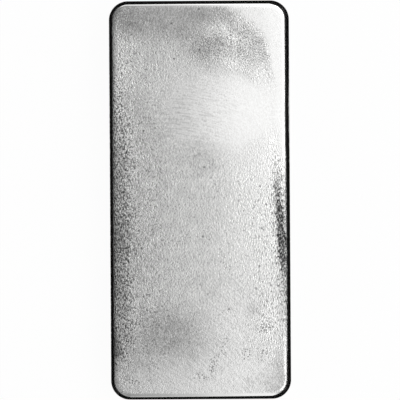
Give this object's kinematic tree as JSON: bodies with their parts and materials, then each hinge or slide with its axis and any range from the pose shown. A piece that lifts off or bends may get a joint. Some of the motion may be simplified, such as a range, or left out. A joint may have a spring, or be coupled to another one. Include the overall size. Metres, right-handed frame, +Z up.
{
  "type": "silver bar",
  "caption": "Cast fine-silver bullion bar: a flat slab with rounded corners and slightly drafted walls, whose upper face falls away in a broad shoulder to a crisp edge.",
  "frame": {"origin": "middle of the flat underside", "axes": "+Y along the bar's length, +X across its width, +Z up through its thickness"},
  "size_m": [0.0834, 0.1834, 0.0197],
  "materials": {
    "silver": "as cast: fine-grained satin face, smooth shoulder along the upper edge"
  },
  "bodies": {
    "root": {"silver_bar": "silver"}
  },
  "joints": []
}
